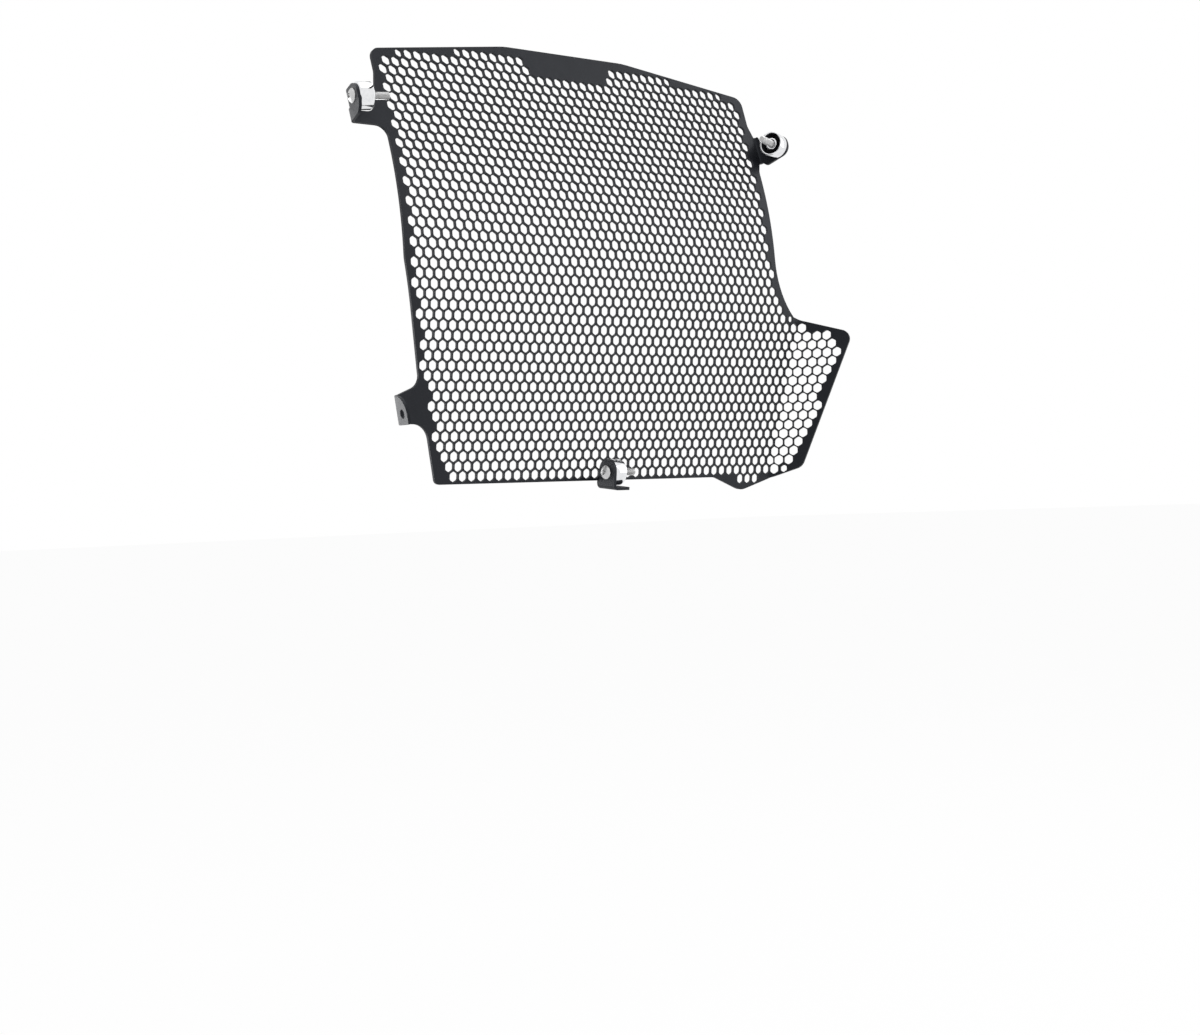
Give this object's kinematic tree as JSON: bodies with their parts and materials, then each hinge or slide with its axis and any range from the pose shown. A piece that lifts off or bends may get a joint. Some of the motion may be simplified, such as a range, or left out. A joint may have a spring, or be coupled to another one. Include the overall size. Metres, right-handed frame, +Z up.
{
  "type": "motorcycle radiator guard",
  "caption": "Folded honeycomb sheet that shields a motorcycle's radiator, with fixing ears, screws and spacer collars.",
  "frame": {"origin": "centre of the bore in the lower left fixing ear, on the ear's middle surface", "axes": "+Z up along the guard, +Y to the rear, towards the radiator, +X to the rider's left"},
  "size_m": [0.4035, 0.0695, 0.3044],
  "materials": {
    "coated_sheet": "satin black coating",
    "screw_steel": "plain steel",
    "polished_collar": "polished"
  },
  "bodies": {
    "root": {"guard_panel": "coated_sheet", "upper_left_screw": "screw_steel", "upper_right_screw": "screw_steel", "lower_centre_screw": "screw_steel", "upper_left_collar": "polished_collar", "upper_right_collar": "polished_collar", "lower_centre_collar": "polished_collar"}
  },
  "joints": []
}
